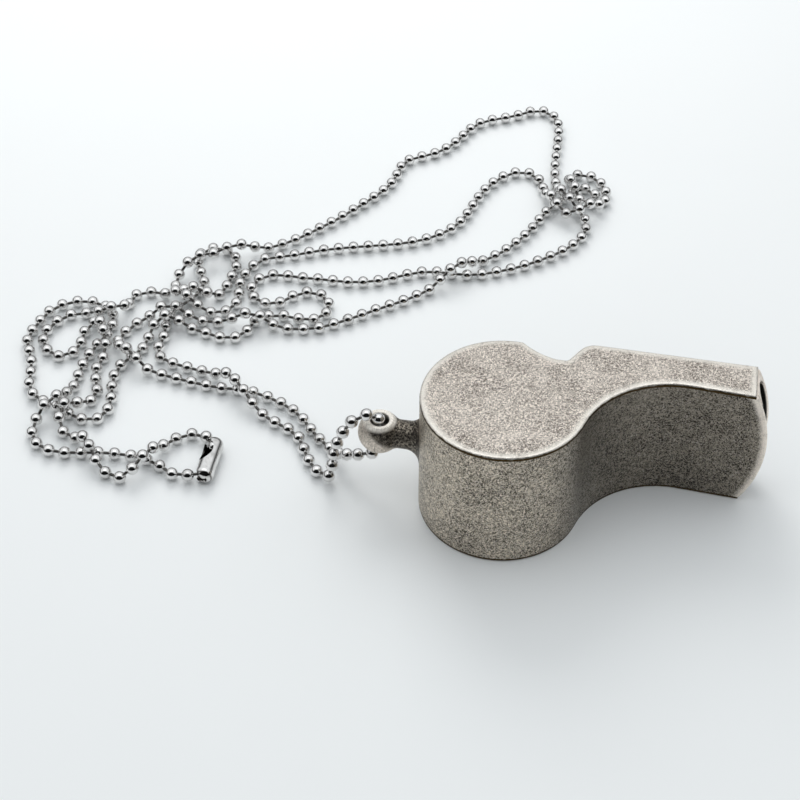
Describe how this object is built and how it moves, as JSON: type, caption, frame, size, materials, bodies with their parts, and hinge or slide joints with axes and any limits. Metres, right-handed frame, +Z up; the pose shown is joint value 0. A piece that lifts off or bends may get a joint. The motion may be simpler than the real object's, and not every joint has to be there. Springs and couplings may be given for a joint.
{
  "type": "pea whistle on a neck chain",
  "caption": "Metal pea whistle with a round chamber, flat mouthpiece, window and loose cork pea, on a ball-chain neck lanyard that runs through a drilled eye and closes in a slotted coupling",
  "frame": {"origin": "on the axis of the round chamber, at the outer face of the lower side plate, which the whistle lies on", "axes": "+X along the whistle to the mouthpiece, +Y to the roof and its window, +Z up across the whistle's width"},
  "size_m": [0.1197, 0.1127, 0.0216],
  "materials": {
    "plated_body": "tumbled antique-silver plating, speckled, worn bright at the edges",
    "chain_steel": "mirror-polished plating on steel",
    "cork": "natural cork"
  },
  "bodies": {
    "whistle": {"side_plate_upper": "plated_body", "side_plate_lower": "plated_body", "barrel_strip": "plated_body", "mouthpiece_roof": "plated_body", "windway_floor": "plated_body", "mouth_cheek_upper": "plated_body", "mouth_cheek_lower": "plated_body", "lanyard_eye": "plated_body"},
    "pea": {"pea": "cork"},
    "neck_chain": {"chain_balls_1": "chain_steel", "chain_balls_2": "chain_steel", "chain_balls_3": "chain_steel", "chain_balls_4": "chain_steel", "chain_balls_5": "chain_steel", "chain_balls_6": "chain_steel", "chain_links_1": "chain_steel", "chain_links_2": "chain_steel", "chain_links_3": "chain_steel", "chain_links_4": "chain_steel", "chain_links_5": "chain_steel", "chain_links_6": "chain_steel"},
    "clasp": {"chain_coupling": "chain_steel"}
  },
  "joints": [
    {"name": "pea_orbit", "type": "hinge", "parent": "whistle", "child": "pea", "pos_m": [0, 0, 0.0108], "axis": [0, 0, 1], "continuous": true},
    {"name": "chain_swing", "type": "hinge", "parent": "whistle", "child": "neck_chain", "pos_m": [-0.0183, 0.0007, 0.0108], "axis": [0, 0, 1], "range_deg": [-45, 90]},
    {"name": "clasp_turn", "type": "hinge", "parent": "neck_chain", "child": "clasp", "pos_m": [-0.04455, -0.00077, 0.00145], "axis": [0, 1, 0], "range_deg": [-18, 12]}
  ]
}
